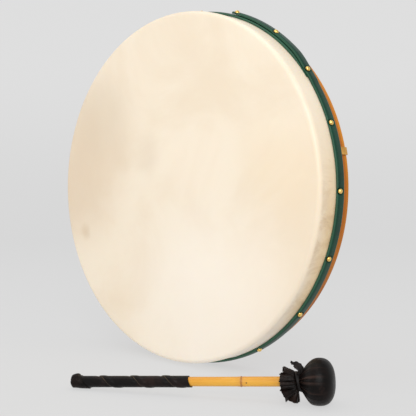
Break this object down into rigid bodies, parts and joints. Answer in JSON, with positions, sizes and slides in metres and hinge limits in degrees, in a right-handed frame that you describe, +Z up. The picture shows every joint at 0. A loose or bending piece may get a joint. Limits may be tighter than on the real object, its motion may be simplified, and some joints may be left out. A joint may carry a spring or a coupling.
{
  "type": "bodhran",
  "caption": "Round one-headed frame drum with a tacked trim band, a cross of two bars behind the skin, and a padded beater.",
  "frame": {"origin": "on the drum's axis where the two crossbars cross, halfway through their thickness: the place the player's hand holds", "axes": "+Y along the drum's axis from the skin to the player, +Z up as the drum is held, +X to the right seen from the skin's side"},
  "size_m": [0.5015, 0.2304, 0.4665],
  "materials": {
    "goatskin": "satin, scraped skin",
    "shell_wood": "clear varnish",
    "bar_wood": "thin varnish",
    "green_band": "finely ribbed, slight sheen",
    "brass": "polished",
    "bamboo": "natural shine",
    "black_leather": "soft, creased",
    "lace_leather": "cut edge",
    "wool": "matted"
  },
  "bodies": {
    "drum": {"shell": "shell_wood", "drumhead": "goatskin", "trim_band": "green_band", "crossbar_level": "bar_wood", "crossbar_upright": "bar_wood", "bar_pin_1": "brass", "bar_pin_2": "brass", "bar_pin_3": "brass", "bar_pin_4": "brass", "tack_01": "brass", "tack_02": "brass", "tack_03": "brass", "tack_04": "brass", "tack_05": "brass", "tack_06": "brass", "tack_07": "brass", "tack_08": "brass", "tack_09": "brass", "tack_10": "brass", "tack_11": "brass", "tack_12": "brass", "tack_13": "brass", "tack_14": "brass", "tack_15": "brass", "tack_16": "brass", "tack_17": "brass", "tack_18": "brass", "tack_19": "brass"},
    "beater": {"cane_shaft": "bamboo", "grip_strip": "black_leather", "pommel_cap": "black_leather", "padding_core": "wool", "head_cover": "black_leather", "tie_lace": "lace_leather"}
  },
  "joints": [
    {"name": "beater_lift", "type": "slide", "parent": "drum", "child": "beater", "axis": [0, 0, 1], "range_m": [0, 0.5]}
  ]
}
